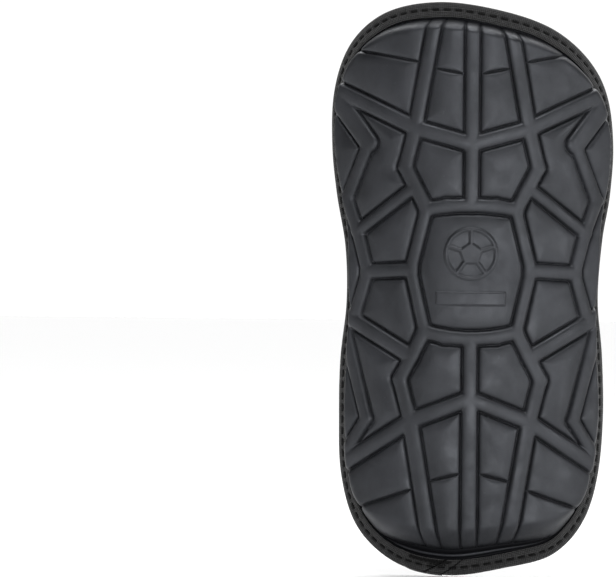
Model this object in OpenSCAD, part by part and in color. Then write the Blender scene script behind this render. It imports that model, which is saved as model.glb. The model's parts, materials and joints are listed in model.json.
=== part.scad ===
// Soft slip-in shin guard: a moulded, rubber-skinned foam shell on a knitted lining,
// bound round its edge with a folded and stitched tape. Strapless: a sock holds it on.
// +Z runs up the leg to the knee and -Y is the front. The origin is on the middle of the
// lining's back, where it meets the shin.

/* [Leg and outline] */
// Radius of the leg that the lining is formed to
shin_r = 62; // [58:1:68]
// Scale of the flat outline along the leg
length_scale = 1; // [0.85:0.05:1.05]

/* [Layers] */
// Thickness of the knitted lining
lining_t = 0.8; // [0.6:0.1:1]
// Thickness of the soft backing foam
comfort_t = 2.5; // [2:0.5:4]
// Thickness of the impact foam under the grooves
impact_t = 2.8; // [2:0.2:4]
// Thickness of the moulded rubber skin
skin_t = 0.8; // [0.6:0.1:1]
// Height of the ribs and cells above the grooves
relief_h = 2.6; // [1.6:0.2:3]

/* [Moulded pattern] */
// Width of the groove on each side of a rib
groove_w = 1.4; // [1:0.1:1.8]
// Width of the single creases that split the end cells
crease_w = 1.6; // [1.2:0.1:2.2]

/* [Binding] */
// Thickness of the binding tape
tape_t = 0.7; // [0.5:0.1:0.9]
// Width of the tape that shows on each face
tape_w = 6.2; // [5.5:0.1:7]
// How much narrower the tape is at the waist
waist_pinch = 3; // [0:0.5:3.5]
// Width of the flange that shows below the face at the bottom
lip_w = 3.2; // [0:0.2:3.6]
// Length of a stitch
stitch_l = 2.4; // [1.5:0.1:2.8]
// Distance from one stitch to the next
stitch_pitch = 4.5; // [3:0.1:6]
// Thickness of the sewing thread
thread_t = 0.35; // [0.3:0.05:0.4]

/* [Hidden] */
$fn = 64;

// Radii of the surfaces, from the leg outwards. At the border the tape wraps the
// lining and the skin's flange; inside it the layers step in to the leg.
border_lining_r = shin_r + tape_t;
flange_r = border_lining_r + lining_t;
flange_top_r = flange_r + 1;
tape_top_r = flange_top_r + tape_t;
lap_top_r = tape_top_r + tape_t;
comfort_r = shin_r + lining_t;
impact_r = comfort_r + comfort_t;
roof_r = impact_r + impact_t;
groove_r = roof_r + skin_t;
face_r = groove_r + relief_h;

// The face curves down to its border: how far it has dropped, and how far inside its wall.
BORDER = [[-1.4, 28], [-1.4, 9.2], [0.9, 4.3], [2.4, 1.6], [4.8, -0.1]];

// Flat widths are measured round the leg at this radius.
flat_r = 64;
// Insets from the bound edge, measured on the flat sheet.
edge_gap = tape_t;
step_gap = 0.2;
wall_inset = tape_w + step_gap;
foam_inset = wall_inset + skin_t;
seam_inset = 3;
seam_channel_w = 1.2;
thread_w = 0.45;
tack_inset = 5;
tack_count = 9;
waist_z = 4;
waist_span = 20;
// The lip widens between these heights.
lip_start_z = -99;
lip_full_z = -109;

// Flat outline of the bound edge, [round the leg, up the leg], from the tape's lap
// at the bottom and anticlockwise as seen from the front. One shoulder slopes and the
// other is squarer, so the two guards of a pair are mirror images.
OUTLINE = [
    [-8, -110], [14, -107], [34, -102], [48.5, -89.5], [56.5, -72], [59.5, -50],
    [58.5, -26], [55.5, -4], [58, 19], [63, 37], [65, 56], [61, 74], [50.5, 87.5],
    [32.5, 99.5], [10, 106.5], [-14, 109.5], [-36.5, 105.5], [-54, 93.5], [-63.5, 76],
    [-64.5, 56], [-61, 37], [-55, 16], [-54, -6], [-57.5, -28], [-58, -50], [-56.5, -72],
    [-47.5, -92], [-29.5, -105.5]
];
edge_steps = 3;
dome_steps = 2;
// The lap covers this stretch of the bottom edge, and ends in a diagonal.
lap_start = -26.5;
lap_end_outer = -10.5;
lap_end_inner = -2;

// Junctions of the moulded ribs as seen from the front, on the +X half.
TOP = [0, 104];
CROWN = [0, 54.8];
PLATE_TOP = [0, 31.6];
PLATE_TOP_BEND = [9.5, 31.2];
PLATE_BASE_BEND = [10, -18.6];
PLATE_BASE = [0, -19.4];
FORK = [0, -42.3];
BOTTOM = [0, -104];
SHOULDER = [21.8, 61];
CHEST = [25.5, 46];
ARM = [22, 38.3];
PLATE_SHOULDER = [17.2, 30];
PLATE_SIDE = [23, 6.8];
PLATE_HIP = [17.6, -16.8];
HIP = [22.3, -26.5];
THIGH = [27, -35];
KNEE = [22.8, -51];
LONG_TOP = [13.7, 106];
LONG_BOTTOM = [13.8, -104];
UPPER_EDGE = [56, 78];
LOWER_EDGE = [54, -71.5];
FLANK_TOP = [52, 72];
FLANK_KNEE = [40, 55.5];
FLANK_EDGE = [48.5, 34];
FLANK_MID = [44, 21.5];
FLANK_WAIST = [40, 6];
FLANK_LOW = [44.5, -9.5];
SIDE_EDGE = [54, -7.6];
LOWER_FLANK_TOP = [50.5, -10];
LOWER_FLANK_KNEE = [40, -50.5];
LOWER_FLANK_END = [49.5, -66];

slim = 2.6;
main = 3;
wide = 3.3;
broad = 3.9;

// Ribs as [from, to, half width to the groove's centre].
RIBS = [
    [TOP, CROWN, main], [CROWN, PLATE_TOP, main], [PLATE_BASE, FORK, main],
    [FORK, BOTTOM, wide], [CROWN, SHOULDER, wide], [SHOULDER, LONG_TOP, main],
    [SHOULDER, UPPER_EDGE, wide], [SHOULDER, CHEST, main], [CHEST, PLATE_SHOULDER, main],
    [ARM, FLANK_MID, slim], [PLATE_SHOULDER, PLATE_TOP_BEND, main],
    [PLATE_TOP_BEND, PLATE_TOP, main], [PLATE_SHOULDER, PLATE_SIDE, slim],
    [PLATE_SIDE, FLANK_WAIST, main], [PLATE_SIDE, PLATE_HIP, slim],
    [PLATE_HIP, PLATE_BASE_BEND, main], [PLATE_BASE_BEND, PLATE_BASE, main],
    [PLATE_HIP, THIGH, main], [HIP, SIDE_EDGE, wide], [THIGH, KNEE, main],
    [FORK, KNEE, wide], [KNEE, LONG_BOTTOM, wide], [KNEE, LOWER_EDGE, wide],
    [FLANK_TOP, FLANK_KNEE, broad], [FLANK_KNEE, FLANK_EDGE, slim],
    [FLANK_EDGE, FLANK_MID, slim], [FLANK_MID, FLANK_WAIST, slim],
    [FLANK_WAIST, FLANK_LOW, slim], [LOWER_FLANK_TOP, LOWER_FLANK_KNEE, slim],
    [LOWER_FLANK_KNEE, LOWER_FLANK_END, slim]
];

// Creases that split the end cells, as [from, to].
CREASES = [
    [[4, 81.7], [14, 83.7]], [[20.8, 86.3], [46, 91.5]],
    [[4, -71], [14.6, -73.6]], [[21.5, -77], [45, -85.4]]
];

// Generic badge on the centre plate: a ball with a five-sided panel, over a blank bar.
badge_z = 13;
badge_r = 10;
badge_line = 1.2;
bar_z = -4;
bar_w = 26;
bar_h = 5;
badge_h = 0.6;

// --- The flat outline ---

function spline_at(p, i, t) =
    let (n = len(p), a = p[(i + n - 1) % n], b = p[i], c = p[(i + 1) % n], d = p[(i + 2) % n])
    (2 * b + (c - a) * t + (2 * a - 5 * b + 4 * c - d) * t * t
        + (3 * b - a - 3 * c + d) * t * t * t) / 2;

function spline_slope(p, i, t) =
    let (n = len(p), a = p[(i + n - 1) % n], b = p[i], c = p[(i + 1) % n], d = p[(i + 2) % n])
    ((c - a) + 2 * (2 * a - 5 * b + 4 * c - d) * t + 3 * (3 * b - a - 3 * c + d) * t * t) / 2;

function unit(v) = v / norm(v);

function lip_share(z) = min(1, max(0, (lip_start_z - z) / (lip_start_z - lip_full_z)));

// The inset at a height: near the waist everything inside the edge moves outwards, and
// along the bottom everything inside the tape moves in.
function inset_at(z, inset) =
    let (share = min(1, max(0, inset - edge_gap) / (wall_inset - edge_gap)))
    let (lip = inset > tape_w ? lip_w * lip_share(z) : 0)
    inset + lip - waist_pinch * share * exp(-pow((z - waist_z) / waist_span, 2));

function edge_point(i, t, inset) =
    let (p = spline_at(OUTLINE, i, t), v = unit(spline_slope(OUTLINE, i, t)))
    let (q = p + inset_at(p.y, inset) * [-v.y, v.x])
    [q.x, q.y * length_scale];

function edge_loop(inset, steps) =
    [for (i = [0 : len(OUTLINE) - 1], k = [0 : steps - 1]) edge_point(i, k / steps, inset)];

// --- Wrapping on the leg ---

function angle_of(s) = s / flat_r * 180 / PI;
function on_leg(p, r) = [r * sin(angle_of(p.x)), -r * cos(angle_of(p.x)), p.y];

// Moves what is drawn round the leg's axis, so that the lining's back is at the origin.
module against_shin() translate([0, shin_r, 0]) children();

// A closed body between loops round the leg, each [inset, radius], from the inmost one out.
module wedge(rings, steps) {
    n = len(OUTLINE) * steps;
    last = n * (len(rings) - 1);
    points = concat(
        [for (ring = rings, p = edge_loop(ring[0], steps)) on_leg(p, ring[1])],
        [on_leg([0, 0], rings[0][1]), on_leg([0, 0], shin_r * 1.6)]
    );
    sides = [for (k = [0 : len(rings) - 2], i = [0 : n - 1])
        let (near = k * n, far = near + n, j = (i + 1) % n)
        each [[far + i, far + j, near + j], [far + i, near + j, near + i]]];
    caps = [for (i = [0 : n - 1]) let (j = (i + 1) % n)
        each [[i, j, last + n], [last + i, last + n + 1, last + j]]];
    polyhedron(points, concat(sides, caps));
}

// The space under the domed face, sunk by a depth.
module dome(sink)
    wedge([for (b = BORDER) [wall_inset + b[0], face_r - b[1] - sink]], dome_steps);

module tube(r_in, r_out) {
    height = 240;
    difference() {
        cylinder(r = r_out, h = height, center = true);
        cylinder(r = r_in, h = height + 2, center = true);
    }
}

// A curved sheet between two radii, cut to the outline less an inset.
module sheet(r_in, r_out, inset) {
    intersection() {
        tube(r_in, r_out);
        wedge([[inset, shin_r * 0.7], [inset, shin_r * 1.6]], edge_steps);
    }
}

// A flat drawing seen from the front, carried back through the guard.
module seen_from_front() {
    rotate([90, 0, 0]) linear_extrude(2 * shin_r) children();
}

// --- The moulded pattern, as seen from the front ---

module stroke(a, b, half_w) {
    run = b - a;
    translate(a) rotate(atan2(run.y, run.x)) {
        translate([0, -half_w]) square([norm(run), 2 * half_w]);
        circle(half_w, $fn = 32);
        translate([norm(run), 0]) circle(half_w, $fn = 32);
    }
}

module both_halves() {
    children();
    mirror([1, 0]) children();
}

module ribs_2d(trim) {
    both_halves() for (rib = RIBS) stroke(rib[0], rib[1], rib[2] - groove_w / 2 - trim);
}

module cells_2d(trim) {
    difference() {
        square([2 * shin_r, 240], center = true);
        both_halves() {
            for (rib = RIBS) stroke(rib[0], rib[1], rib[2] + groove_w / 2 + trim);
            for (crease = CREASES) stroke(crease[0], crease[1], crease_w / 2 + trim);
        }
    }
}

// The raised ribs and cells between two radii, each side trimmed by a skin's thickness.
module relief(r_in, r_out, inset, trim) {
    intersection() {
        sheet(r_in, r_out, inset);
        seen_from_front() {
            ribs_2d(trim);
            cells_2d(trim);
        }
    }
}

module badge_2d() {
    translate([0, badge_z]) {
        difference() {
            circle(badge_r);
            circle(badge_r - badge_line);
        }
        rotate(90) circle(badge_r * 0.42, $fn = 5);
        for (i = [0 : 4]) rotate(90 + 72 * i)
            translate([badge_r * 0.3, -badge_line / 2]) square([badge_r * 0.6, badge_line]);
    }
    translate([0, bar_z]) square([bar_w, bar_h], center = true);
}

// --- Sub-parts ---

// The lining steps in to the leg inside the tape, so that the back is flush.
module back_lining() color([0.10, 0.10, 0.11]) against_shin() {
    sheet(shin_r, comfort_r, wall_inset);
    difference() {
        sheet(border_lining_r, flange_r, edge_gap);
        sheet(border_lining_r - 1, flange_r + 1, foam_inset);
    }
}

module soft_core() sheet(comfort_r, impact_r, foam_inset);

module firm_core()
    intersection() {
        union() {
            sheet(impact_r, roof_r, foam_inset);
            relief(roof_r - 0.5, face_r - skin_t, foam_inset, skin_t);
        }
        dome(skin_t);
    }

module comfort_foam() color([0.30, 0.31, 0.33]) against_shin() soft_core();

module impact_foam() color([0.16, 0.16, 0.18]) against_shin() firm_core();

module moulded_shell() color([0.14, 0.14, 0.15]) against_shin() {
    difference() {
        union() {
            sheet(flange_r, flange_top_r, edge_gap);
            intersection() {
                union() {
                    sheet(flange_r, groove_r, wall_inset);
                    relief(groove_r - 0.4, face_r, wall_inset, 0);
                }
                dome(0);
            }
        }
        soft_core();
        firm_core();
    }
    intersection() {
        tube(face_r - 0.4, face_r + badge_h);
        seen_from_front() badge_2d();
    }
}

// A shallow channel that the seam pulls into one face of the tape.
module seam_channel(r_in, r_out) {
    difference() {
        sheet(r_in, r_out, seam_inset - seam_channel_w / 2);
        sheet(r_in - 1, r_out + 1, seam_inset + seam_channel_w / 2);
    }
}

// One stitch on the bound edge, with its middle at a radius, turned by a slant.
module stitch_at(i, t, inset, r, length, slant) {
    p = edge_point(i, t, inset);
    v = spline_slope(OUTLINE, i, t);
    rotate([0, 0, angle_of(p.x)]) translate([0, -r, p.y]) rotate([0, -atan2(v.y, v.x) - slant, 0])
        cube([length, thread_t - 0.05, thread_w], center = true);
}

function stitches_in(i) =
    round(norm(OUTLINE[(i + 1) % len(OUTLINE)] - OUTLINE[i]) / stitch_pitch);

function is_on_lap(p) = p.y < -90 && p.x > lap_start && p.x < lap_end_outer + 2;

module lap_2d() {
    polygon([
        [lap_start, -125], [lap_end_outer, -125], [lap_end_outer, -110],
        [lap_end_inner, -102], [lap_end_inner, -95], [lap_start, -95]
    ]);
}

module binding_tape() color([0.09, 0.09, 0.09]) against_shin()
    difference() {
        sheet(shin_r, tape_top_r, 0);
        sheet(border_lining_r, flange_top_r, edge_gap);
        sheet(shin_r - 1, tape_top_r + 1, tape_w);
        seam_channel(tape_top_r - thread_t, tape_top_r + 1);
        seam_channel(shin_r - 1, shin_r + thread_t);
    }

// The end of the tape lies over its start, on the front and round the edge.
module binding_lap() color([0.12, 0.12, 0.12]) against_shin()
    difference() {
        intersection() {
            sheet(border_lining_r, lap_top_r, -tape_t);
            seen_from_front() lap_2d();
        }
        sheet(border_lining_r - 1, tape_top_r, 0);
        sheet(tape_top_r - 1, lap_top_r + 1, tape_w);
        seam_channel(lap_top_r - thread_t, lap_top_r + 1);
    }

module front_stitches() color([0.05, 0.05, 0.05]) against_shin()
    for (i = [0 : len(OUTLINE) - 1], k = [1 : stitches_in(i)]) {
        t = (k - 0.5) / stitches_in(i);
        face = is_on_lap(edge_point(i, t, seam_inset)) ? lap_top_r : tape_top_r;
        stitch_at(i, t, seam_inset, face - thread_t / 2, stitch_l, 0);
    }

module back_stitches() color([0.05, 0.05, 0.05]) against_shin()
    for (i = [0 : len(OUTLINE) - 1], k = [1 : stitches_in(i)])
        stitch_at(i, (k - 0.5) / stitches_in(i), seam_inset, shin_r + thread_t / 2, stitch_l, 0);

// A short dense zigzag along the lap's inner edge.
module lap_tack_stitches() color([0.05, 0.05, 0.05]) against_shin()
    for (k = [0 : tack_count - 1])
        stitch_at(len(OUTLINE) - 1, 0.3 + 0.65 * k / (tack_count - 1), tack_inset,
            lap_top_r + thread_t / 2, 1.8, (k % 2 == 0) ? 25 : -25);

back_lining();
comfort_foam();
impact_foam();
moulded_shell();
binding_tape();
binding_lap();
front_stitches();
back_stitches();
lap_tack_stitches();
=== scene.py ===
"""A soft slip-in shin guard: moulded face, foams, lining, edge binding and its stitching."""

import json
import math

import bmesh
import bpy
import numpy as np
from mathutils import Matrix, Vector
from mathutils.geometry import delaunay_2d_cdt


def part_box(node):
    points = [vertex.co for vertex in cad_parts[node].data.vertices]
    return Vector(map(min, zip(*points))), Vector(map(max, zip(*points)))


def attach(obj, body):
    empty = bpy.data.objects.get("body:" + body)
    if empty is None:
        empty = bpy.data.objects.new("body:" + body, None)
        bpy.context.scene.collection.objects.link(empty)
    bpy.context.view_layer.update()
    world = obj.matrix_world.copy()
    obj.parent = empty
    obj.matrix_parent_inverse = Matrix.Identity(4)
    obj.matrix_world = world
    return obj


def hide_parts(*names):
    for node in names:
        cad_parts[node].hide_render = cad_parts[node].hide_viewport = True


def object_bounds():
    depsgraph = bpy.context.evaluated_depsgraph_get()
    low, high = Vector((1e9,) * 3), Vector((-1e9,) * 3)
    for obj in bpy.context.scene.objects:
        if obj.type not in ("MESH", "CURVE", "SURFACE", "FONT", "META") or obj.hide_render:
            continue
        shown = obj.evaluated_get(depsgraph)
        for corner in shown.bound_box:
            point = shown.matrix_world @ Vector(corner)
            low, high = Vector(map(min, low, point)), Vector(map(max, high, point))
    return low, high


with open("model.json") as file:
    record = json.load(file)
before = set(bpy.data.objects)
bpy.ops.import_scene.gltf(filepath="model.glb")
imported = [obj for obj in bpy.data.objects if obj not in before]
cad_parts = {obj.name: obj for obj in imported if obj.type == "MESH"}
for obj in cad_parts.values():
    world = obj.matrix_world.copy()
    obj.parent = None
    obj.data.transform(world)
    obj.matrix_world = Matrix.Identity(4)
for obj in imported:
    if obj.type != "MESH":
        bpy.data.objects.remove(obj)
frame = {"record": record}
cad_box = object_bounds()

MM = 0.001

# ---------------------------------------------------------------- sizes, in millimetres

SHIN_R = frame["record"]["mounts"][0]["dims"]["r_mm"]


def front_radius(node):
    """How far a CAD node reaches in front of the leg's axis."""
    return SHIN_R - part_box(node)[0].y / MM


TAPE_R = front_radius("binding_tape")
FLANGE_R = front_radius("back_lining")
COMFORT_R = front_radius("comfort_foam")
SKIN = 0.8
FACE_R = front_radius("impact_foam") + SKIN
RIM_R = TAPE_R + 0.1  # the face's border, level with the tape
FLAT_R = 64.0  # flat widths are measured round the leg at this radius
SEEN_R = 70.5  # the pattern is laid out as seen from the front at this radius

# The bound edge. An inset is a distance in from it along the surface.
TAPE_W = 5.9
WALL_INSET = 6.5  # where the raised face starts
SEAM_INSET = 3.0
STITCH_PITCH = 4.5
STITCH_L = 2.6
SEAM_DIP = 0.45  # how far a stitch pulls the tape in
EDGE_GAP = 0.7  # the inset up to which the waist changes nothing
WAIST_PINCH = 3.0  # how much narrower the border is at the waist
WAIST_Z = 4.0
WAIST_SPAN = 20.0
LIP = 3.4  # width of the flange that shows below the face at the bottom
LIP_Z, LIP_FADE = -99, 11  # the height where the lip starts, and how much lower it is full
LIP_FROM, LIP_SPAN = TAPE_W + 0.1, 0.3  # the insets that the lip spreads apart

# Flat outline of the bound edge, [round the leg, up the leg], anticlockwise from the lap.
OUTLINE = [
    [-8, -110], [14, -107], [34, -102], [48.5, -89.5], [56.5, -72], [59.5, -50],
    [58.5, -26], [55.5, -4], [58, 19], [63, 37], [65, 56], [61, 74], [50.5, 87.5],
    [32.5, 99.5], [10, 106.5], [-14, 109.5], [-36.5, 105.5], [-54, 93.5], [-63.5, 76],
    [-64.5, 56], [-61, 37], [-55, 16], [-54, -6], [-57.5, -28], [-58, -50], [-56.5, -72],
    [-47.5, -92], [-29.5, -105.5],
]
STATIONS = 1040  # points along the edge

# Junctions of the ribs as seen from the front, on one half of the mirrored pattern.
TOP, CROWN = [0, 104], [0, 54.8]
PLATE_TOP, PLATE_TOP_BEND = [0, 31.6], [9.5, 31.2]
PLATE_SHOULDER, PLATE_SIDE, PLATE_HIP = [17.2, 30], [23, 6.8], [17.6, -16.8]
PLATE_BASE_BEND, PLATE_BASE = [10, -18.6], [0, -19.4]
FORK, BOTTOM = [0, -42.3], [0, -104]
SHOULDER, CHEST, ARM = [21.8, 61], [25.5, 46], [22, 38.3]
HIP, THIGH, KNEE = [22.9, -26.2], [27, -35], [22.8, -51]
LONG_TOP, LONG_BOTTOM = [13.7, 106], [13.8, -104]
UPPER_EDGE, SIDE_EDGE, LOWER_EDGE = [56, 78], [54, -7.6], [54, -71.5]
FLANK_TOP, FLANK_KNEE, FLANK_EDGE = [52, 72], [40, 55.5], [48.5, 34]
FLANK_MID, FLANK_WAIST, FLANK_LOW = [44, 21.5], [40, 6], [44.5, -9.5]
LOWER_FLANK_TOP, LOWER_FLANK_KNEE, LOWER_FLANK_END = [50.5, -10], [40, -50.5], [49.5, -66]

SLIM, MAIN, WIDE, BROAD = 2.6, 3.0, 3.3, 3.9  # half widths, to the groove's centre
RIBS = [
    (TOP, CROWN, MAIN), (CROWN, PLATE_TOP, MAIN), (PLATE_BASE, FORK, MAIN),
    (FORK, BOTTOM, WIDE), (CROWN, SHOULDER, WIDE), (SHOULDER, LONG_TOP, MAIN),
    (SHOULDER, UPPER_EDGE, WIDE), (SHOULDER, CHEST, MAIN), (CHEST, PLATE_SHOULDER, MAIN),
    (ARM, FLANK_MID, SLIM), (PLATE_SHOULDER, PLATE_TOP_BEND, MAIN),
    (PLATE_TOP_BEND, PLATE_TOP, MAIN), (PLATE_SHOULDER, PLATE_SIDE, SLIM),
    (PLATE_SIDE, FLANK_WAIST, MAIN), (PLATE_SIDE, PLATE_HIP, SLIM),
    (PLATE_HIP, PLATE_BASE_BEND, MAIN), (PLATE_BASE_BEND, PLATE_BASE, MAIN),
    (PLATE_HIP, THIGH, MAIN), (HIP, SIDE_EDGE, WIDE), (THIGH, KNEE, MAIN),
    (FORK, KNEE, WIDE), (KNEE, LONG_BOTTOM, WIDE), (KNEE, LOWER_EDGE, WIDE),
    (FLANK_TOP, FLANK_KNEE, BROAD), (FLANK_KNEE, FLANK_EDGE, SLIM),
    (FLANK_EDGE, FLANK_MID, SLIM), (FLANK_MID, FLANK_WAIST, SLIM),
    (FLANK_WAIST, FLANK_LOW, SLIM), (LOWER_FLANK_TOP, LOWER_FLANK_KNEE, SLIM),
    (LOWER_FLANK_KNEE, LOWER_FLANK_END, SLIM),
]
CREASES = [
    ([4, 81.7], [14, 83.7]), ([20.8, 86.3], [46, 91.5]),
    ([4, -71], [14.6, -73.6]), ([21.5, -77], [45, -85.4]),
]
RIB_BLEND = 0.3  # how softly ribs run into each other

# The face's section: the relief, and the border that curves down to the tape.
RELIEF = 2.6  # depth of a groove
BORDER_DEPTH, DEPTH_GAIN, GAIN_SPAN = 0.7, 0.3, 5  # share of it at the border, and gained inside
DOME, LOW_DOME = 4.5, 8.5  # how far in the face curves down, and along the bottom
LOW_DOME_Z, LOW_DOME_FADE = -80, 12
RIM_DROP, RIM_ROUND = 0.6, 1.0
GROOVE, CREASE = 0.12, 0.1  # half widths of the flat floors
CREASE_FLOOR, CREASE_RISE = 0.12, 0.88  # a crease isn't quite as deep as a groove
RIB_EDGE, CELL_EDGE, CREASE_EDGE = (1.2, 3.2), (1.3, 5.2), (1.2, 4.6)  # tight and broad radii
TIGHT_SHARE, BROAD_SHARE = 0.58, 0.42
PILLOW, PILLOW_REACH = 0.22, 10.0  # share of a cell's height that swells, and how far in

# The plain ball and the blank bar on the centre plate.
BADGE_Z, BADGE_R, BADGE_LINE, BADGE_H = 13.0, 10.0, 1.2, 0.75
BADGE_SLOPE = 0.4  # width of the slope at its edges
PANEL, SPOKE_FROM = 0.36, 0.3  # the middle panel's size and the spokes' start, as shares
BAR_Z, BAR_W, BAR_H = -4.0, 26.0, 5.0

WHOLE = (140, 224)  # flat width and height that hold the whole guard
PATTERNED = (118, 222)  # the same for the face, as seen from the front

# ---------------------------------------------------------------- the bound edge


def closed_spline(points, steps):
    """Catmull-Rom curve through a closed loop of points."""
    b = np.array(points, float)
    a, c, d = np.roll(b, 1, 0), np.roll(b, -1, 0), np.roll(b, -2, 0)
    t = (np.arange(steps) / steps)[:, None, None]
    curve = (2 * b + (c - a) * t + (2 * a - 5 * b + 4 * c - d) * t**2
             + (3 * b - a - 3 * c + d) * t**3) / 2
    return curve.transpose(1, 0, 2).reshape(-1, 2)


def spaced_evenly(loop, count):
    """The closed loop again, as that many points at equal distances, and its length."""
    ring = np.vstack([loop, loop[:1]])
    along = np.concatenate([[0], np.cumsum(np.linalg.norm(np.diff(ring, axis=0), axis=1))])
    at = np.linspace(0, along[-1], count, endpoint=False)
    return np.stack([np.interp(at, along, ring[:, k]) for k in (0, 1)], axis=1), along[-1]


def inward_normals(loop):
    """Unit directions into an anticlockwise loop, one for each of its points."""
    run = np.roll(loop, -2, 0) - np.roll(loop, 2, 0)
    run /= np.linalg.norm(run, axis=1)[:, None]
    return np.stack([-run[:, 1], run[:, 0]], axis=1)


def smooth_step(t):
    t = np.clip(t, 0, 1)
    return t * t * (3 - 2 * t)


EDGE, EDGE_LENGTH = spaced_evenly(closed_spline(OUTLINE, steps=24), STATIONS)
INWARD = inward_normals(EDGE)
STITCHES = round(EDGE_LENGTH / STITCH_PITCH)


def lip_share(z):
    """How much of the flange shows as a lip: only along the bottom."""
    return smooth_step((LIP_Z - z) / LIP_FADE)


def inset_at(z, inset):
    """Near the waist everything inside the edge moves outwards, and the lip moves the face in."""
    share = np.clip((inset - EDGE_GAP) / (WALL_INSET - EDGE_GAP), 0, 1)
    lip = LIP * np.clip((inset - LIP_FROM) / LIP_SPAN, 0, 1) * lip_share(z)
    return inset + lip - WAIST_PINCH * share * np.exp(-(((z - WAIST_Z) / WAIST_SPAN) ** 2))


def edge_line(inset):
    """The edge moved in by an inset, as flat points, one for each station."""
    return EDGE + np.asarray(inset_at(EDGE[:, 1], inset))[:, None] * INWARD


def edge_at(along, inset):
    """Flat points at distances along the edge and insets from it."""
    place = np.asarray(along) / EDGE_LENGTH * STATIONS
    first = np.floor(place).astype(int)
    t = (place - first)[..., None]
    first, second = first % STATIONS, (first + 1) % STATIONS
    on_edge = EDGE[first] * (1 - t) + EDGE[second] * t
    inward = INWARD[first] * (1 - t) + INWARD[second] * t
    return on_edge + np.asarray(inset_at(on_edge[..., 1], inset))[..., None] * inward


def on_leg(flat, radius):
    """Flat points wrapped on the leg at a radius, in millimetres."""
    turn = flat[..., 0] / FLAT_R
    return np.stack([radius * np.sin(turn), SHIN_R - radius * np.cos(turn),
                     flat[..., 1] + 0 * radius], axis=-1)


def seen(flat):
    """Flat points as seen from the front, where the pattern is laid out."""
    return np.stack([SEEN_R * np.sin(flat[:, 0] / FLAT_R), flat[:, 1]], axis=1)


def unseen(front):
    """Points as seen from the front, laid flat again."""
    return np.stack([FLAT_R * np.arcsin(np.clip(front[:, 0] / SEEN_R, -1, 1)),
                     front[:, 1]], axis=1)


def distance_to(points, starts, ends):
    """Distance from every point to every segment, as a table."""
    starts, run = np.array(starts, float), np.array(ends, float) - np.array(starts, float)
    off = points[:, None] - starts[None]
    t = np.clip((off * run).sum(2) / (run * run).sum(1), 0, 1)
    return np.linalg.norm(off - t[..., None] * run, axis=2)


def inside_by(flat, inset):
    """How far each flat point is inside the edge line at an inset; negative outside it."""
    spacing, batch = 4, 20000
    line, normal = edge_line(inset)[::spacing], INWARD[::spacing]
    out = np.empty(len(flat))
    for k in range(0, len(flat), batch):
        part = flat[k:k + batch]
        away = distance_to(part, line, np.roll(line, -1, 0))
        nearest = away.argmin(1)
        side = ((part - line[nearest]) * normal[nearest]).sum(1)
        out[k:k + batch] = away.min(1) * np.where(side < 0, -1, 1)
    return out


def inner_points(points, inset, margin):
    """The flat points that are inside the edge line at an inset by more than a margin."""
    return points[inside_by(points, inset) > margin]


# ---------------------------------------------------------------- the moulded pattern


def mirrored(front):
    """Points folded over on to the half where the pattern is laid out."""
    return np.stack([np.abs(front[:, 0]), front[:, 1]], axis=1)


def rib_field(front):
    """Distance past the nearest groove's centre: negative on a rib, positive in a cell."""
    starts, ends, widths = zip(*RIBS)
    past = distance_to(mirrored(front), starts, ends) - np.array(widths)
    low = past.min(1)
    return low - RIB_BLEND * np.log(np.exp((low[:, None] - past) / RIB_BLEND).sum(1))


def crease_field(front):
    """Distance to the nearest crease."""
    starts, ends = zip(*CREASES)
    return distance_to(mirrored(front), starts, ends).min(1)


def badge_field(front):
    """Signed distance to the plain ball and the blank bar: negative inside them."""
    far = 9
    x, z = front[:, 0], front[:, 1] - BADGE_Z
    around = np.hypot(x, z)
    ring = np.abs(around - BADGE_R + BADGE_LINE / 2) - BADGE_LINE / 2
    fifth = math.tau / 5
    turn = (np.arctan2(x, z) + fifth / 2) % fifth - fifth / 2
    panel = around * np.cos(fifth / 2 - np.abs(turn)) - BADGE_R * PANEL
    spoke = np.where((around > BADGE_R * SPOKE_FROM) & (around < BADGE_R),
                     np.abs(around * np.sin(turn)) - BADGE_LINE / 2, far)
    bar = np.maximum(np.abs(x) - BAR_W / 2, np.abs(front[:, 1] - BAR_Z) - BAR_H / 2)
    return np.minimum.reduce([ring, panel, spoke, bar])


def shoulder(distance, radius):
    """A quarter round that rises from 0 to 1 over a radius."""
    return np.sqrt(np.clip(1 - (1 - np.clip(distance / radius, 0, 1)) ** 2, 0, 1))


def padded_edge(distance, tight, broad):
    """A tight shoulder that goes on into a broad, gentle crown."""
    return TIGHT_SHARE * shoulder(distance, tight) + BROAD_SHARE * shoulder(distance, broad)


def dome_radius(inner, z):
    """The face without its grooves, at a distance inside its border and a height."""
    width = DOME + (LOW_DOME - DOME) * smooth_step((LOW_DOME_Z - z) / LOW_DOME_FADE)
    return RIM_R + (FACE_R - RIM_R) * np.sin(math.pi / 2 * np.clip(inner / width, 0, 1))


def groove_depth(inner):
    return RELIEF * (BORDER_DEPTH + DEPTH_GAIN * smooth_step(inner / GAIN_SPAN))


def relief_share(front):
    """How far the pattern rises from its grooves: 0 in their floors and 1 on top."""
    past = rib_field(front)
    rib = padded_edge(-past - GROOVE, *RIB_EDGE)
    pillow = 1 - (1 - np.clip(past / PILLOW_REACH, 0, 1)) ** 2
    cell = (1 - PILLOW) * padded_edge(past - GROOVE, *CELL_EDGE) + PILLOW * pillow
    beside_crease = padded_edge(crease_field(front) - CREASE, *CREASE_EDGE)
    creased = CREASE_FLOOR + CREASE_RISE * beside_crease
    return np.where(past < 0, rib, np.minimum(cell, creased))


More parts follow.
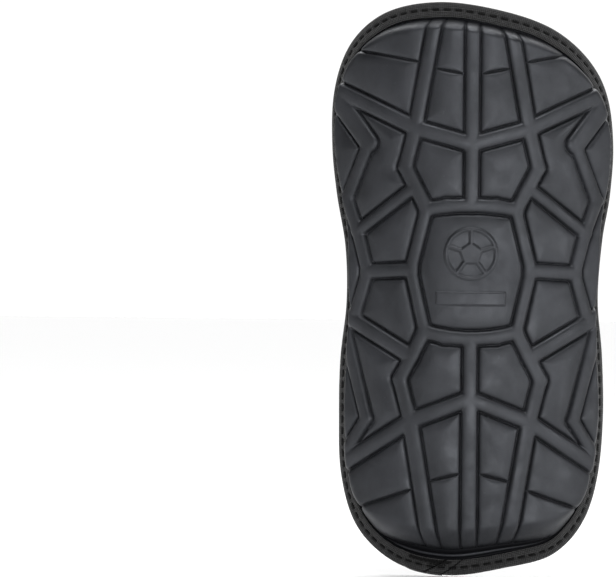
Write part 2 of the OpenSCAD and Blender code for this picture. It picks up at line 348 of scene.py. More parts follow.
def face_radius(flat, relief):
    """The face's radius where the pattern has risen by a share."""
    badge = BADGE_H * smooth_step(-badge_field(seen(flat)) / BADGE_SLOPE + 0.5)
    inner = np.maximum(inside_by(flat, WALL_INSET), 0)
    rim = RIM_DROP * (1 - shoulder(inner, RIM_ROUND))
    return dome_radius(inner, flat[:, 1]) - groove_depth(inner) * (1 - relief) - rim + badge


def under_face(flat):
    """The skin's underside, which is smooth."""
    inner = np.maximum(inside_by(flat, WALL_INSET), 0)
    return dome_radius(inner, flat[:, 1]) - groove_depth(inner) - SKIN


def hex_grid(step, width, height):
    """Points of a triangular grid over a rectangle about the middle."""
    rows = np.arange(-height / 2, height / 2, step * math.sqrt(3) / 2)
    columns = np.arange(-width / 2, width / 2, step)
    x, z = np.meshgrid(columns, rows)
    x[1::2] += step / 2
    return np.stack([x.ravel(), z.ravel()], axis=1)


def snap_to_levels(front, field, levels):
    """Moves the points that are near one of a field's level lines on to that line."""
    step, reach, steepness = 0.02, 0.3, 0.3
    for _ in range(2):
        value = field(front)
        slope = np.stack([field(front + [step, 0]) - field(front - [step, 0]),
                          field(front + [0, step]) - field(front - [0, step])], axis=1)
        slope /= 2 * step
        steep = (slope**2).sum(1)
        level = np.array(levels)[np.abs(value[:, None] - levels).argmin(1)]
        near = (np.abs(value - level) < reach) & (steep > steepness)
        gap = np.where(near, value - level, 0)
        front = front - (gap / np.maximum(steep, steepness))[:, None] * slope
    return front


def thinned(points, cell):
    """The points again, with at most one in each square cell."""
    _, first = np.unique(np.floor(points / cell).astype(int), axis=0, return_index=True)
    return points[np.sort(first)]


# Rows of points run beside a groove at these distances from its centre.
GROOVE_ROWS = [0, 0.13, 0.26, 0.45, 0.7, 1.0, 1.4, 1.9]


def pattern_points():
    """Flat points over the face, close together along the grooves, ribs and badge."""
    # How far out from a groove and from a crease each finer grid reaches.
    wall, bank, crown = 0.8, 2.2, 6
    crease_bank, crease_crown = 1.8, 4
    fine, deep = hex_grid(0.46, *PATTERNED), hex_grid(0.25, *PATTERNED)
    past, crease = rib_field(fine), crease_field(fine)
    fine = fine[((np.abs(past) < bank) & (np.abs(past) > wall))
                | ((crease < crease_bank) & (crease > wall))]
    deep = deep[np.minimum(np.abs(rib_field(deep)), crease_field(deep)) < wall]
    fine = np.vstack([deep, fine])
    near_crease = crease_field(fine) < np.abs(rib_field(fine))
    fine[near_crease] = snap_to_levels(fine[near_crease], crease_field, GROOVE_ROWS)
    both_sides = [-row for row in GROOVE_ROWS[:0:-1]] + GROOVE_ROWS
    fine[~near_crease] = snap_to_levels(fine[~near_crease], rib_field, both_sides)

    middle = hex_grid(0.8, *PATTERNED)
    past, crease = rib_field(middle), crease_field(middle)
    middle = middle[((past < crown) & (np.abs(past) >= bank) & (crease >= crease_bank))
                    | ((crease >= crease_bank) & (crease < crease_crown) & (past >= bank))]
    coarse = hex_grid(1.4, *PATTERNED)
    coarse = coarse[(rib_field(coarse) >= crown) & (crease_field(coarse) >= crease_crown)]

    badge = hex_grid(0.36, 2 * BADGE_R + 8, 60)
    badge = badge[np.abs(badge_field(badge)) < wall]
    badge = snap_to_levels(badge, badge_field, [-0.18, 0.18])
    coarse = coarse[badge_field(coarse) > wall]
    middle = middle[badge_field(middle) > wall]
    return unseen(thinned(np.vstack([fine, badge, middle, coarse]), 0.14))


# ---------------------------------------------------------------- mesh making


def drop_unused_points(mesh):
    shape = bmesh.new()
    shape.from_mesh(mesh)
    unused = [point for point in shape.verts if not point.link_faces]
    bmesh.ops.delete(shape, geom=unused, context="VERTS")
    shape.to_mesh(mesh)
    shape.free()


def make_object(name, points, faces, strip=None):
    """A smooth mesh from points in millimetres. strip holds (along, across, painted_shade) for the
    material:
    two distances for its weave, and how much painted shade darkens and dulls the point, deep in
    gaps, grooves and creases."""
    mesh = bpy.data.meshes.new(name)
    mesh.from_pydata((np.asarray(points) * MM).tolist(), [], faces)
    if strip is not None:
        layer = mesh.attributes.new("strip", "FLOAT_VECTOR", "POINT")
        layer.data.foreach_set("vector", np.asarray(strip, np.float32).ravel())
    mesh.polygons.foreach_set("use_smooth", [True] * len(mesh.polygons))
    drop_unused_points(mesh)
    piece = bpy.data.objects.new(name, mesh)
    bpy.context.scene.collection.objects.link(piece)
    return piece


def quads_between(first, second, closed=True):
    """Quads that join two rows of vertex numbers."""
    count = len(first)
    last = count if closed else count - 1
    return [(first[k], first[(k + 1) % count], second[(k + 1) % count], second[k])
            for k in range(last)]


def is_within(loop, points):
    """Whether flat points are inside a closed loop."""
    x, z = points[:, :1], points[:, 1:]
    ends = np.roll(loop, -1, 0)
    spans = (loop[:, 1] > z) != (ends[:, 1] > z)
    rise = np.where(loop[:, 1] == ends[:, 1], 1, ends[:, 1] - loop[:, 1])
    at = loop[:, 0] + (ends[:, 0] - loop[:, 0]) * (z - loop[:, 1]) / rise
    return (spans & (x < at)).sum(1) % 2 == 1


def triangles_within(loop, inner):
    """Delaunay triangles inside a flat loop, as index triples into loop then inner."""
    points = [Vector(p) for p in np.vstack([loop, inner]).tolist()]
    count = len(loop)
    edges = [(k, (k + 1) % count) for k in range(count)]
    _, _, faces, sources, _, _ = delaunay_2d_cdt(points, edges, [], 1, 1e-5, True)
    corners = np.array([[sources[v][0] for v in face] for face in faces])
    rim = (corners < count).all(1)
    keep = ~rim
    keep[rim] = is_within(loop, loop[corners[rim]].mean(1))
    return [tuple(face) for face in corners[keep].tolist()]


def layer_solid(name, rings, top, top_radius, base, base_radius, painted_shade=0):
    """A closed curved slab. rings is a list of (inset, radius) from its top face's border
    round to its base's; top and base are flat inner points with a radius for each. painted_shade
    is the painted shade, one value for each point, in the order rings, top, base."""
    loops = [edge_line(inset) for inset, _ in rings]
    points = [on_leg(loop, radius + np.zeros(STATIONS)) for loop, (_, radius) in zip(loops, rings)]
    rows = [list(range(k * STATIONS, (k + 1) * STATIONS)) for k in range(len(rings))]
    faces = []
    for upper, lower in zip(rows, rows[1:]):
        faces += quads_between(lower, upper)
    for row, loop, inner, radius, flip in ((rows[0], loops[0], top, top_radius, False),
                                           (rows[-1], loops[-1], base, base_radius, True)):
        start = sum(len(p) for p in points)
        points.append(on_leg(inner, radius))
        number = row + list(range(start, start + len(inner)))
        for face in triangles_within(loop, inner):
            ids = tuple(number[v] for v in face)
            faces.append(ids[::-1] if flip else ids)
    flat = np.vstack(loops + [top, base])
    return make_object(name, np.vstack(points), faces,
                       np.column_stack([flat, painted_shade + np.zeros(len(flat))]))


def swept(name, along, insets, radii, painted_shade, closed):
    """A skin over tables of points: one row for each place along the edge, each row a closed
    section, with a painted shade value for each point. closed joins the last row to the first;
    otherwise the ends are capped."""
    rows, columns = insets.shape
    points = on_leg(edge_at(along, insets), radii).reshape(-1, 3)
    numbers = np.arange(rows * columns).reshape(rows, columns)
    faces = []
    for k in range(rows if closed else rows - 1):
        faces += quads_between(numbers[k].tolist(), numbers[(k + 1) % rows].tolist())
    if not closed:
        faces += [tuple(numbers[0].tolist()[::-1]), tuple(numbers[-1].tolist())]
    across = np.concatenate([[0], np.cumsum(np.hypot(np.diff(insets[0]), np.diff(radii[0])))])
    strip = np.stack([along.ravel(), np.tile(across, rows), painted_shade.ravel()], axis=1)
    return make_object(name, points, faces, strip)


def sewn(name, middles, half_runs, outwards, thickness):
    """Short bowed threads. Each has a middle, half its run and an outward direction."""
    steps = np.array([-1, -0.82, -0.4, 0, 0.4, 0.82, 1])
    sink = np.array([-0.9, -0.3, 0.1, 0.2, 0.1, -0.3, -0.9]) * thickness
    girth = np.array([0.25, 0.8, 1, 1, 1, 0.8, 0.25]) * thickness / 2
    sides = 8
    turn = np.arange(sides) / sides * math.tau
    across = np.cross(half_runs, outwards)
    across /= np.linalg.norm(across, axis=1)[:, None]
    centre = (middles[:, None] + steps[None, :, None] * half_runs[:, None]
              + sink[None, :, None] * outwards[:, None])
    ring = (np.cos(turn)[None, None, :, None] * across[:, None, None]
            + np.sin(turn)[None, None, :, None] * outwards[:, None, None])
    points = centre[:, :, None] + girth[None, :, None, None] * ring
    numbers = np.arange(points.size // 3).reshape(points.shape[:3])
    faces = []
    for one in numbers.tolist():
        for first, second in zip(one, one[1:]):
            faces += quads_between(second, first)
        faces += [tuple(one[0]), tuple(one[-1][::-1])]
    return make_object(name, points.reshape(-1, 3), faces)


# ---------------------------------------------------------------- materials


class Finish:
    """A procedural material, and the few node shorthands that its bump and mottling use."""

    def __init__(self, name, colour, roughness, specular=0.5, sheen=0.0):
        self.material = bpy.data.materials.new(name)
        self.material.use_nodes = True
        self.nodes = self.material.node_tree.nodes
        self.links = self.material.node_tree.links
        self.shader = self.nodes["Principled BSDF"]
        self.shader.inputs["Base Color"].default_value = (*colour, 1)
        self.shader.inputs["Roughness"].default_value = roughness
        self.shader.inputs["Specular IOR Level"].default_value = specular
        self.shader.inputs["Sheen Weight"].default_value = sheen
        self.shader.inputs["Sheen Roughness"].default_value = 0.5
        self.colour = colour

    def node(self, kind, **settings):
        node = self.nodes.new(kind)
        for key, value in settings.items():
            setattr(node, key, value)
        return node

    def join(self, source, target):
        self.links.new(source, target)

    def maths(self, operation, first, second=None):
        node = self.node("ShaderNodeMath", operation=operation)
        for socket, value in zip(node.inputs, (first, second)):
            if isinstance(value, (int, float)):
                socket.default_value = value
            elif value is not None:
                self.join(value, socket)
        return node.outputs[0]

    def noise(self, scale, detail=2.0, roughness=0.5):
        node = self.node("ShaderNodeTexNoise")
        node.inputs["Scale"].default_value = scale
        node.inputs["Detail"].default_value = detail
        node.inputs["Roughness"].default_value = roughness
        place = self.node("ShaderNodeTexCoord")
        self.join(place.outputs["Object"], node.inputs["Vector"])
        return node.outputs["Fac"]

    def strip(self):
        """The distances along and across a strip of cloth, in millimetres, and the painted shade.
        """
        place = self.node("ShaderNodeAttribute", attribute_name="strip")
        split = self.node("ShaderNodeSeparateXYZ")
        self.join(place.outputs["Vector"], split.inputs[0])
        return split.outputs["X"], split.outputs["Y"], split.outputs["Z"]

    def streaks(self, along, across):
        """Noise drawn out along a strip, with so many cycles to a millimetre each way."""
        place = self.node("ShaderNodeAttribute", attribute_name="strip")
        scale = self.node("ShaderNodeVectorMath", operation="MULTIPLY")
        scale.inputs[1].default_value = (along, across, 0)
        self.join(place.outputs["Vector"], scale.inputs[0])
        node = self.node("ShaderNodeTexNoise")
        node.inputs["Scale"].default_value = 1
        node.inputs["Detail"].default_value = 2
        self.join(scale.outputs[0], node.inputs["Vector"])
        return node.outputs["Fac"]

    def dim_shine_by_painted_shade(self, painted_shade, left):
        """Painted shade: takes the shine away where the painted shade is, deep in gaps and
        grooves, down to the share that is left.
        """
        for name in ("Specular IOR Level", "Sheen Weight"):
            socket = self.shader.inputs[name]
            level = socket.default_value
            self.join(self.ramp(painted_shade, 0, 1, level, level * left), socket)

    def wave(self, distance, period):
        return self.maths("SINE", self.maths("MULTIPLY", distance, math.tau / period))

    def ramp(self, value, low, high, first, second):
        node = self.node("ShaderNodeMapRange")
        for socket, number in zip(node.inputs[1:5], (low, high, first, second)):
            socket.default_value = number
        self.join(value, node.inputs[0])
        return node.outputs[0]

    def vary_colour(self, value, darkest, lightest):
        """value runs from 0 to 1 and scales the base colour between two shares."""
        mix = self.node("ShaderNodeMix", data_type="RGBA")
        mix.inputs["A"].default_value = (*[c * darkest for c in self.colour], 1)
        mix.inputs["B"].default_value = (*[c * lightest for c in self.colour], 1)
        self.join(value, mix.inputs["Factor"])
        self.join(mix.outputs["Result"], self.shader.inputs["Base Color"])

    def bump(self, height, distance):
        """A bump whose full height is a distance in millimetres."""
        node = self.node("ShaderNodeBump")
        node.inputs["Strength"].default_value = 1.0
        node.inputs["Distance"].default_value = distance * MM
        self.join(height, node.inputs["Height"])
        self.join(node.outputs["Normal"], self.shader.inputs["Normal"])


def shell_finish():
    """A satin rubber skin with a faint grain, soft smudges and a few pale specks, and painted
    shade that darkens and dulls its grooves' floors, its border and the gap round it.
    """
    finish = Finish("satin skin", (0.0085, 0.0088, 0.0102), 0.5, 0.5)
    finish.shader.inputs["Specular Tint"].default_value = (0.88, 0.92, 1.0, 1)
    painted_shade = finish.strip()[2]
    smudge = finish.ramp(finish.noise(55, 4, 0.65), 0.35, 0.7, 0, 1)
    specks = finish.ramp(finish.noise(420, 1, 0.5), 0.76, 0.8, 0, 5)
    # Painted shade: the smudges and specks are the skin's own tone, and the painted shade is taken
    # off them to darken the grooves and the border.
    shade = finish.maths("ADD", finish.maths("SUBTRACT", smudge, painted_shade), specks)
    finish.vary_colour(shade, 0.6, 1.8)
    # Painted shade: the shine is dimmed to a tenth where the painted shade is full.
    finish.dim_shine_by_painted_shade(painted_shade, 0.1)
    finish.join(finish.ramp(finish.noise(75, 5, 0.7), 0.34, 0.66, 0.38, 0.62),
                finish.shader.inputs["Roughness"])
    grain = finish.noise(2600, 2, 0.6)
    waves = finish.maths("MULTIPLY", finish.noise(160, 2, 0.5), 3.0)
    finish.bump(finish.maths("ADD", grain, waves), 0.03)
    return finish.material


def tape_finish():
    """A dull woven tape, ribbed across, a little fluffy, with painted shade in the stitch dips,
    the lap's creases and along its inner edge in front.
    """
    finish = Finish("woven tape", (0.016, 0.016, 0.0164), 0.85, 0.3, 0.15)
    along, across, painted_shade = finish.strip()
    weave = finish.maths("ADD", finish.wave(along, 0.75), finish.wave(across, 0.6))
    mottle = finish.maths("ADD", finish.maths("MULTIPLY", finish.noise(900, 3, 0.7), 4.0),
                          finish.maths("MULTIPLY", finish.streaks(0.16, 2.2), 5.0))
    height = finish.maths("ADD", weave, mottle)
    shade = finish.ramp(height, 2.5, 7.0, 0, 1)
    # Painted shade: the weave's tone is darkened, and its shine dimmed, where the painted shade
    # is.
    finish.vary_colour(finish.maths("SUBTRACT", shade, painted_shade), 0.3, 2.0)
    finish.dim_shine_by_painted_shade(painted_shade, 0.05)
    finish.bump(height, 0.06)
    return finish.material


def lining_finish():
    """A fine brushed knit."""
    finish = Finish("knitted lining", (0.013, 0.013, 0.0145), 0.9, 0.25, 0.2)
    x, z, _ = finish.strip()
    lean = finish.maths("ADD", x, finish.maths("MULTIPLY", z, 0.5))
    other = finish.maths("SUBTRACT", x, finish.maths("MULTIPLY", z, 0.5))
    knit = finish.maths("MULTIPLY", finish.wave(lean, 1.1), finish.wave(other, 1.1))
    fluff = finish.maths("MULTIPLY", finish.noise(1500, 3, 0.7), 2.0)
    height = finish.maths("ADD", knit, fluff)
    finish.vary_colour(finish.ramp(height, 0.2, 2.0, 0, 1), 0.6, 1.5)
    finish.bump(height, 0.06)
    return finish.material


def thread_finish():
    finish = Finish("sewing thread", (0.003, 0.003, 0.003), 0.8, 0.15)
    finish.bump(finish.noise(4000, 2, 0.5), 0.03)
    return finish.material


def foam_finish(name, colour):
    finish = Finish(name, colour, 0.95, 0.2)
    finish.bump(finish.noise(2200, 3, 0.7), 0.08)
    return finish.material


def finished(piece, material, slot, *nodes):
    """Gives a piece its material, hangs it on the root body and hides the CAD nodes it replaces.
    slot, the piece's place in the record, is not used.
    """
    piece.data.materials.append(material)
    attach(piece, "root")
    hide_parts(*nodes)
    return piece


# ---------------------------------------------------------------- shell, foams and lining


# Section of the bead along the lip, from the face's side: share of the lip, rise, painted shade.
BEAD = [(0.66, 0, 1), (0.62, 0.55, 0.5), (0.55, 0.9, 0), (0.45, 1, 0), (0.35, 0.9, 0),
        (0.28, 0.55, 0.5), (0.24, 0, 1)]
GROOVE_PAINTED_SHADE, BORDER_PAINTED_SHADE = 0.1, 0.5  # painted shade on the grooves' floors and along the border
# How far in from the border the painted shade fades out.
BORDER_SHADE_REACH = 2
AIR = 0.06  # between the skin and the foams


def moulded_shell():
    """The skin: its face, the gap round it with the lip's bead, the flange and the back."""
    face = inner_points(pattern_points(), WALL_INSET, 0.55)
    back = inner_points(hex_grid(3.0, *WHOLE), WALL_INSET + SKIN, 1.5)
    first_inset = WALL_INSET + 0.3
    lines = (edge_line(first_inset), edge_line(WALL_INSET), face)
    first_share, border_share, face_share = (relief_share(seen(flat)) for flat in lines)
    border = face_radius(edge_line(WALL_INSET), border_share)
    under = FLANGE_R + 0.05
    channel = under + 0.35  # floor of the gap between the face and the tape
    flange = TAPE_R - 0.55  # top of the flange, under the tape
    lip = lip_share(EDGE[:, 1])
    bead = (TAPE_R - 0.1 - channel) * lip
    rings = [(first_inset, face_radius(edge_line(first_inset), first_share)),
             (WALL_INSET, border), (WALL_INSET - 0.03, border * 0.5 + channel * 0.5),
             (WALL_INSET - 0.07, channel), (LIP_FROM + LIP_SPAN, channel)]
    # Painted shade: partial on the face's border, full in the gap, on the bead's flanks and on the
    # hidden flange and back.
    painted_shade = [BORDER_PAINTED_SHADE + 0 * border] * 2 + [1 + 0 * border] * 3
    for share, rise, bead_shade in BEAD:
        rings.append((LIP_FROM + share * LIP_SPAN, channel + rise * bead))
        painted_shade.append(1 - (1 - bead_shade) * lip)
    behind = [(TAPE_W - 0.25, channel), (TAPE_W - 0.35, flange), (1.0, flange),
              (0.85, flange - 0.5), (1.0, under + 0.02), (4.5, under), (WALL_INSET + 0.6, under),
              (WALL_INSET + SKIN, under_face(edge_line(WALL_INSET + SKIN)))]
    rings += behind
    painted_shade += [1 + 0 * border] * len(behind)
    # Painted shade on the face: on the grooves' floors, and fading in from the border.
    border_painted_shade = BORDER_PAINTED_SHADE * (1 - smooth_step(inside_by(face, WALL_INSET) / BORDER_SHADE_REACH))
    painted_shade += [np.maximum(GROOVE_PAINTED_SHADE * (1 - face_share) ** 3, border_painted_shade), 0 * back[:, 0]]
    return layer_solid("shell_face", rings, face, face_radius(face, face_share), back,
                       under_face(back), np.concatenate(painted_shade))


def foam_pad(name, inset, low, top, corner, side, wall):
    """A pad with a flat base at a radius and a top from a function of its flat points. Its
    corners and its side are set in from the inset, and wall has the side's two heights."""
    inner = inner_points(hex_grid(4.0, *WHOLE), inset, 1.5)
    rings = [(inset + corner, top(edge_line(inset + corner)))]
    rings += [(inset + side, low + height) for height in wall]
    rings.append((inset + corner, low))
    return layer_solid(name, rings, inner, top(inner), inner, low + 0 * inner[:, 0])


def comfort_pad():
    """The soft foam, level with the flange's back where the skin leaves it room."""
    def top(flat):
        return np.minimum(COMFORT_R - 0.05, under_face(flat) - AIR)

    return foam_pad("comfort_pad", WALL_INSET + SKIN, COMFORT_R - 2.45, top, 0.5, 0.2, (1.0, 0.4))


def impact_pad():
    """The firm foam, which fills the face."""
    def top(flat):
        return np.maximum(under_face(flat) - AIR, COMFORT_R + 0.25)

    return foam_pad("impact_pad", WALL_INSET + 3.4, COMFORT_R, top, 0.4, 0.1, (0.2, 0.1))


def lining_sheet():
    """The lining is flush with the tape's back leg, and dips in under it at the border."""
    tuck, turn = 1.0, TAPE_W - 1.0  # insets of its cut edge, and where it comes out

    def back(flat):
        inner = inside_by(flat, TAPE_W)
        step = 0.66 * (1 - smooth_step((inner + 0.2) / 1.6))
        press = 0.12 * smooth_step(1 - np.abs(rib_field(seen(flat))) / 2.0)
        return SHIN_R + 0.1 + step + press

    def upper(flat):
        return np.where(inside_by(flat, WALL_INSET) > 0, SHIN_R + 0.78, high)

    high = FLANGE_R - 0.03
    top = inner_points(hex_grid(4.0, *WHOLE), 2.0, 1.5)
    base = inner_points(hex_grid(1.3, *WHOLE), turn, 0.5)
    rings = [(2.0, high + np.zeros(STATIONS)), (tuck, high), (0.85, high - 0.3),
             (tuck, high - 0.6), (turn, back(edge_line(turn)))]
    piece = layer_solid("lining_sheet", rings, top, upper(top), base, back(base))
    x, z = edge_line(tuck).T
    return piece


# ---------------------------------------------------------------- binding and its seam


# Section of the folded tape, from its inner edge in front round to its inner edge behind, and
# back inside the fold: inset, and height above the shin.
TAPE_SECTION = [
    (5.4, 2.62), (5.65, 2.74), (5.75, 2.95), (5.67, 3.12), (5.45, 3.2), (5.0, 3.22), (4.2, 3.22),
    (3.7, 3.2), (3.4, 3.2), (3.2, 3.2), (3.0, 3.2), (2.8, 3.2), (2.6, 3.2), (2.3, 3.2),
    (1.8, 3.2), (1.1, 3.15), (0.6, 3.04), (0.25, 2.78), (0.05, 2.35), (0.0, 1.8), (0.03, 1.2),
    (0.2, 0.6), (0.5, 0.22), (1.0, 0.03), (1.8, 0.0), (2.4, 0.02), (2.75, 0.16), (3.0, 0.24),
    (3.25, 0.16), (3.6, 0.02), (4.4, 0.0), (5.4, 0.0), (5.8, 0.03), (5.95, 0.22), (5.8, 0.42),
    (5.4, 0.5), (3.0, 0.62), (1.2, 0.66), (0.8, 0.9), (0.7, 1.5), (0.8, 2.2), (1.3, 2.5),
    (3.0, 2.42), (5.2, 2.62),
]
TAPE_H = 3.2  # height of that section, which is scaled to the CAD tape's
TAPE_ROWS = 1560

# The lap's section, over the front and round the edge, and back underneath.
LAP_SECTION = [
    (5.4, 2.95), (5.7, 3.0), (5.95, 3.15), (6.0, 3.4), (5.85, 3.75), (5.55, 3.88), (5.0, 3.92),
    (4.2, 3.9), (3.7, 3.9), (3.4, 3.9), (3.2, 3.9), (3.0, 3.9), (2.8, 3.9), (2.6, 3.9),
    (2.3, 3.9), (1.8, 3.88), (1.1, 3.78), (0.5, 3.5), (0.05, 3.05), (-0.25, 2.4), (-0.4, 1.6),
    (-0.38, 0.9), (-0.25, 0.6), (0.0, 0.9), (0.18, 1.6), (0.4, 2.2), (1.0, 2.7), (2.0, 2.8),
    (3.5, 2.7),
]
LAP_RISE, LAP_RAMP = 0.72, 7  # how far the lap rises out of the tape, and over what length
LAP_ROWS = 90
LAP_START, LAP_END_OUTER, LAP_END_INNER = -21.0, -3.0, 6.0
CUT_SLOPE = 0.8  # the cut end slopes down over this length
FOLD_BACK = 6.5  # from the cut end back to the slanting fold


def under_stitch(along, inset):
    """1 where a stitch pulls the tape in, and 0 away from the seam."""
    place = along / EDGE_LENGTH * STITCHES
    off = np.abs(place - np.floor(place) - 0.5) * STITCH_PITCH
    pulled = smooth_step((STITCH_L / 2 + 0.35 - off) / 0.5)
    return (0.15 + 0.85 * pulled) * np.exp(-(((inset - SEAM_INSET) / 0.45) ** 2))


def pucker(along, inset):
    """Small waves that the seam draws up in the tape."""
    turn = math.tau * along / EDGE_LENGTH
    near_seam = np.exp(-(((inset - SEAM_INSET) / 1.3) ** 2))
    drift = np.sin(17 * turn) + np.sin(29 * turn + 1.3) + 0.7 * np.sin(53 * turn + 0.4)
    return (0.07 * near_seam * np.cos(turn * STITCHES) + 0.05 * drift * smooth_step(inset / 3)
            - SEAM_DIP * under_stitch(along, inset))


def binding_tape():
    """The tape folded round the edge, with painted shade along its inner edge in front, where it
    runs under the face's border, and in the stitch dips.
    """
    insets, lifts = (np.tile(v, (TAPE_ROWS, 1)) for v in zip(*TAPE_SECTION))
    along = np.arange(TAPE_ROWS)[:, None] / TAPE_ROWS * EDGE_LENGTH + 0 * insets
    front = smooth_step((lifts - 1.5) / 1.2)
    wander = 0.12 * np.sin(math.tau * 23 * along / EDGE_LENGTH) * smooth_step(insets / 4 - 0.4)
    radii = SHIN_R + lifts * (TAPE_R - SHIN_R) / TAPE_H + front * pucker(along, insets)
    # Painted shade: where the tape runs under the face's border, and in the stitch dips.
    painted_shade_under_lip = (lifts < 2.9) * (insets > 5.3) * (lifts > 2.4)
    painted_shade = front * under_stitch(along, insets) + painted_shade_under_lip
    return swept("tape_fold", along, insets + wander, radii, painted_shade, True)


def lap_lift(along):
    """The lap rises out of the tape at its start and lies a tape's thickness higher."""
    return smooth_step((along - LAP_START) / LAP_RAMP)


def binding_lap():
    """The tape's end, laid over its start and cut off in a slant, with one slanting fold."""
    insets, lifts = (np.array(v) for v in zip(*LAP_SECTION))
    end = LAP_END_OUTER + (LAP_END_INNER - LAP_END_OUTER) * np.clip(insets, 0, 6) / 6
    share = np.append(np.linspace(0, 1, LAP_ROWS), 1)[:, None]
    cut = np.append(np.zeros(LAP_ROWS), 1)[:, None]
    along = LAP_START + share * (end - LAP_START) + cut * CUT_SLOPE
    insets = np.tile(insets, (len(share), 1))
    sunk = 1 - lap_lift(along)
    low = np.clip(np.tile(lifts, (len(share), 1)) - LAP_RISE * sunk, 0, None)
    fold = along - (end - FOLD_BACK)
    pressed = np.exp(-((fold / 0.6) ** 2))
    crease = 0.6 * pressed - 0.2 * np.exp(-(((fold - 1.2) / 0.8) ** 2))
    tucked = insets + 0.7 * sunk * (insets < 0.7)
    top = smooth_step((lifts - 2.9) / 0.6)
    curl = 0.15 * smooth_step((share - 0.9) / 0.1) * (1 - cut)
    radii = SHIN_R + low + top * (pucker(along, insets) - crease + curl - 0.62 * cut)
    # Painted shade: in the stitch dips, in the slanting fold, at the cut end and under the tack's
    # zigzag.
    painted_shade_at_cut = 1.6 * smooth_step((share - 0.975) / 0.02) * (cut + 0.2)
    sewn_down = smooth_step((along + 17) / 1.5) * (1 - smooth_step((along - 1) / 1.5))
    painted_shade_by_tack = 0.8 * sewn_down * np.exp(-(((insets - 5.0) / 0.6) ** 2))
    painted_shade = top * (under_stitch(along, insets) + 0.9 * pressed + painted_shade_at_cut + painted_shade_by_tack)
    return swept("tape_lap", along, tucked, radii, painted_shade, False)


def on_front(along, inset, lift):
    """Points on the guard at a height above the shin, with their outward directions."""
    flat = edge_at(along, inset)
    point = on_leg(flat, SHIN_R + lift)
    outward = point - on_leg(flat, SHIN_R - 1.0 + 0 * lift)
    return point, outward / np.linalg.norm(outward, axis=-1)[..., None]


def seam(name, lift, sign, rows, thickness=0.42):
    """A stitch for each row of (along, inset, slant, half length). lift is a function of the
    distance along, and sign is 1 in front and -1 behind."""
    along, inset, slant, half = (np.array(v, float) for v in zip(*rows))
    height = lift(along)
    point, outward = on_front(along, inset, height)
    ahead, _ = on_front(along + half * np.cos(slant), inset + half * np.sin(slant), height)
    return sewn(name, point, ahead - point, outward * sign, thickness)


def seam_rows():
    """The binding seam, with a sewing machine's small wander."""
    pitch = EDGE_LENGTH / STITCHES
    return [((k + 0.5) * pitch, SEAM_INSET + 0.06 * math.sin(k * 1.7),
             0.03 * math.sin(k * 2.3), STITCH_L / 2) for k in range(STITCHES)]


def tack_rows():
    """A dense zigzag that holds the lap down: a long row, and a short one beside it."""
    rows = []
    for k in range(19):
        rows.append((-15.5 + 0.9 * k, 5.0 + 0.12 * math.sin(k * 2.1), 0.8 * (-1) ** k, 0.85))
    for k in range(6):
        rows.append((-6.5 + 1.1 * k, 4.0 + 0.1 * math.sin(k * 1.3), 0.6 * (-1) ** k, 0.7))
    return rows


def front_seam_lift(along):
    """The seam's thread lies in the tape where the stitches pull it in, on the lap too."""
    wrapped = (along + EDGE_LENGTH / 2) % EDGE_LENGTH - EDGE_LENGTH / 2
    over = (wrapped > LAP_START) & (wrapped < LAP_END_OUTER + 2)
    return 2.86 + 0.7 * lap_lift(wrapped) * over


def back_seam_lift(along):
    return 0.2 + 0 * along


def tack_lift(along):
    return 3.92 + 0 * along


# ---------------------------------------------------------------- the guard

cloth, thread = tape_finish(), thread_finish()
finished(moulded_shell(), shell_finish(), "shell", "moulded_shell")
pad = finished(comfort_pad(), foam_finish("soft foam", (0.07, 0.073, 0.08)), "backing_foam",
               "comfort_foam")
pad = finished(impact_pad(), foam_finish("firm foam", (0.022, 0.022, 0.026)), "impact_foam",
               "impact_foam")
finished(lining_sheet(), lining_finish(), "lining", "back_lining")
finished(binding_tape(), cloth, "tape", "binding_tape")
finished(binding_lap(), cloth, "tape", "binding_lap")
finished(seam("seam_front", front_seam_lift, 1, seam_rows()), thread, "thread", "front_stitches")
finished(seam("seam_back", back_seam_lift, -1, seam_rows()), thread, "thread", "back_stitches")
finished(seam("lap_tack", tack_lift, 1, tack_rows(), 0.55), thread, "thread", "lap_tack_stitches")

# ---------------------------------------------------------------- stage, light, camera, in metres

# Soft boxes that face the guard: name, place, width, height, watts.
SOFT_BOXES = [
    ("key", (0.4, -1.96, -0.02), 2.0, 0.35, 28),
    ("left", (-1.7, -0.75, 0.1), 0.8, 0.35, 0.8),
    ("right", (1.7, -0.75, 0.2), 0.8, 0.35, 7.5),
    ("front overhead", (0, -0.6, 1.6), 1.2, 0.6, 18),
]
# The surround's brightness against its direction: from, to, darkest, lightest.
SURROUND = (0.15, 0.95, 0.14, 1.05)
LEAN = 0.9  # how much faster the surround darkens towards the left


def camera_like_photo():
    """Level, straight in front of the guard, turned a little so that it sits right of centre."""
    distance, width = 1.435, 0.2357  # from the guard, and of what it takes in there
    height, roll, beside = -0.00075, -0.0095, 0.0623
    data = bpy.data.cameras.new("camera")
    data.sensor_width = 36
    data.lens = data.sensor_width * distance / width
    data.clip_start, data.clip_end = 0.1, 60
    camera = bpy.data.objects.new("camera", data)
    bpy.context.scene.collection.objects.link(camera)
    camera.location = (0, -distance - (TAPE_R - SHIN_R) * MM, height)
    camera.rotation_euler = (math.pi / 2, roll, math.atan(beside / distance))
    bpy.context.scene.camera = camera


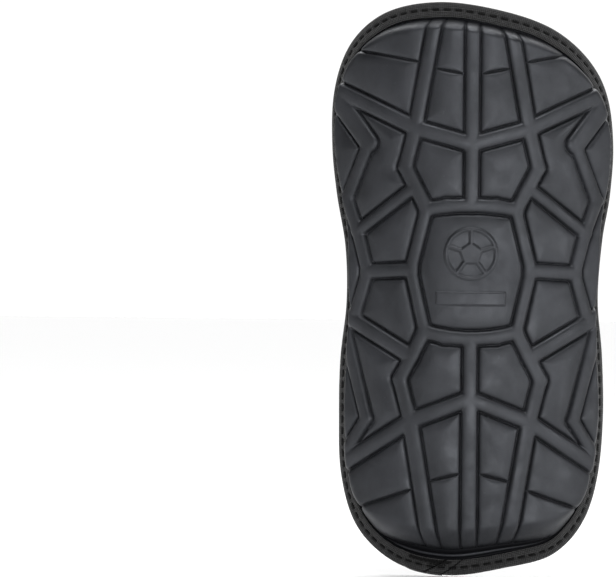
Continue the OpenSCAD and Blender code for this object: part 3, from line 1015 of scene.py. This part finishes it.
def plain_floor():
    size, low = 12, cad_box[0].z
    mesh = bpy.data.meshes.new("floor")
    mesh.from_pydata([(-size, -size, low), (size, -size, low), (size, size, low),
                      (-size, size, low)], [], [(0, 1, 2, 3)])
    floor = bpy.data.objects.new("floor", mesh)
    bpy.context.scene.collection.objects.link(floor)
    floor.data.materials.append(Finish("floor", (0.88, 0.88, 0.88), 0.9, 0.1).material)


def soft_box(name, place, width, height, watts):
    """A rectangular light that faces the guard's middle."""
    data = bpy.data.lights.new(name, "AREA")
    data.shape, data.size, data.size_y, data.energy = "RECTANGLE", width, height, watts
    lamp = bpy.data.objects.new(name, data)
    lamp.location = place
    lamp.rotation_mode = "QUATERNION"
    lamp.rotation_quaternion = (-Vector(place)).to_track_quat("-Z", "Y")
    bpy.context.scene.collection.objects.link(lamp)


def overhead_sun():
    """A broad light from above and behind, which whitens the floor."""
    data = bpy.data.lights.new("overhead", "SUN")
    data.energy, data.angle = 3.1, math.radians(60)
    lamp = bpy.data.objects.new("overhead", data)
    lamp.rotation_euler = (math.radians(-32), 0, 0)
    bpy.context.scene.collection.objects.link(lamp)


def studio_surround():
    """White behind the guard, and grey on the camera's side and towards its left."""
    world = bpy.data.worlds.new("studio")
    bpy.context.scene.world = world
    world.use_nodes = True
    nodes, links = world.node_tree.nodes, world.node_tree.links
    place = nodes.new("ShaderNodeTexCoord")
    split = nodes.new("ShaderNodeSeparateXYZ")
    leftward = nodes.new("ShaderNodeMath")
    leftward.operation = "MINIMUM"
    leftward.inputs[1].default_value = 0
    level = nodes.new("ShaderNodeMath")
    level.operation = "MULTIPLY_ADD"
    level.inputs[1].default_value = LEAN
    grade = nodes.new("ShaderNodeMapRange")
    grade.interpolation_type = "SMOOTHSTEP"
    for socket, number in zip(grade.inputs[1:5], SURROUND):
        socket.default_value = number
    links.new(place.outputs["Generated"], split.inputs[0])
    links.new(split.outputs["X"], leftward.inputs[0])
    links.new(leftward.outputs[0], level.inputs[0])
    links.new(split.outputs["Y"], level.inputs[2])
    links.new(level.outputs[0], grade.inputs[0])
    links.new(grade.outputs[0], nodes["Background"].inputs["Color"])


camera_like_photo()
plain_floor()
studio_surround()
for box in SOFT_BOXES:
    soft_box(*box)
overhead_sun()
bpy.context.scene.view_settings.view_transform = "Standard"
